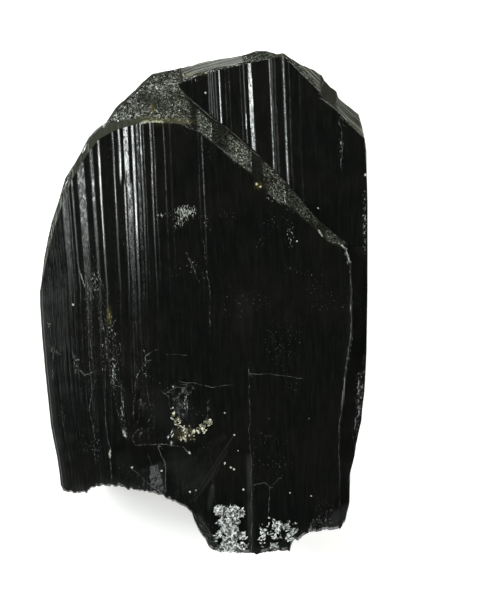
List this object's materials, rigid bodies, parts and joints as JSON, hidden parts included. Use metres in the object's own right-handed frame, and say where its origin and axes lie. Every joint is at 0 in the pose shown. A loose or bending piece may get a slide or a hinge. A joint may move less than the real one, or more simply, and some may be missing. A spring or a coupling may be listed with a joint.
{
  "type": "columbite crystal specimen",
  "caption": "Black striated tabular columbite crystal, two plates in parallel growth with a stepped tip, broken at the foot, with small white mica patches.",
  "frame": {"origin": "on the resting face at the back of the crystal, under the middle of its box", "axes": "+X across the plates to the right as seen from the front, +Y along the prism to the tip, +Z out of the front face"},
  "size_m": [0.0392, 0.0603, 0.0178],
  "materials": {
    "columbite": "submetallic black, striated, frosted on the tip faces",
    "mica": "sugary white flakes with pearly glints",
    "feldspar": "dull yellowish white grains"
  },
  "bodies": {
    "root": {"columbite_crystal": "columbite", "mica_patch_left": "mica", "mica_patch_right": "mica", "feldspar_grains": "feldspar"}
  },
  "joints": []
}
